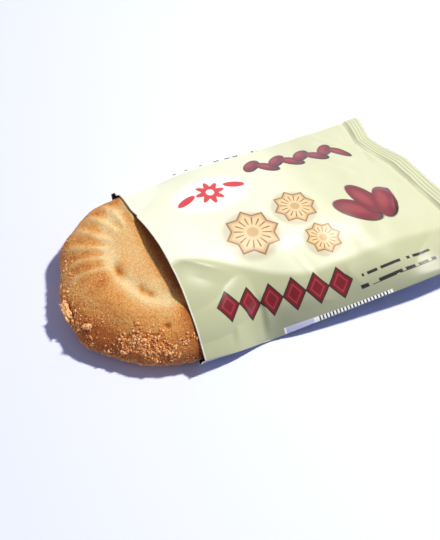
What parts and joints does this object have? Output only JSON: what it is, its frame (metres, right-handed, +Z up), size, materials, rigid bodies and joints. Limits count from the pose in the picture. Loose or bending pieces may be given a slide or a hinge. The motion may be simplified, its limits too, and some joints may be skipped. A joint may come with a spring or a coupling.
{
  "type": "maamoul cookie in an opened wrapper",
  "caption": "Round ribbed maamoul cookie with a sandy baked crust, half slid out of the torn mouth of its soft flow-wrap film sleeve, which ends in a crimped seal.",
  "frame": {"origin": "on the table, in the middle of the flat film that lies under the cookie", "axes": "+X runs along the sleeve from its torn mouth to the crimped seal, +Y across it, +Z up"},
  "size_m": [0.1117, 0.0688, 0.0184],
  "materials": {
    "baked_crust": "dry, sandy, golden-brown shortcrust, paler in the grooves",
    "printed_film": null
  },
  "bodies": {
    "root": {"cookie": "baked_crust", "sleeve": "printed_film"}
  },
  "joints": []
}
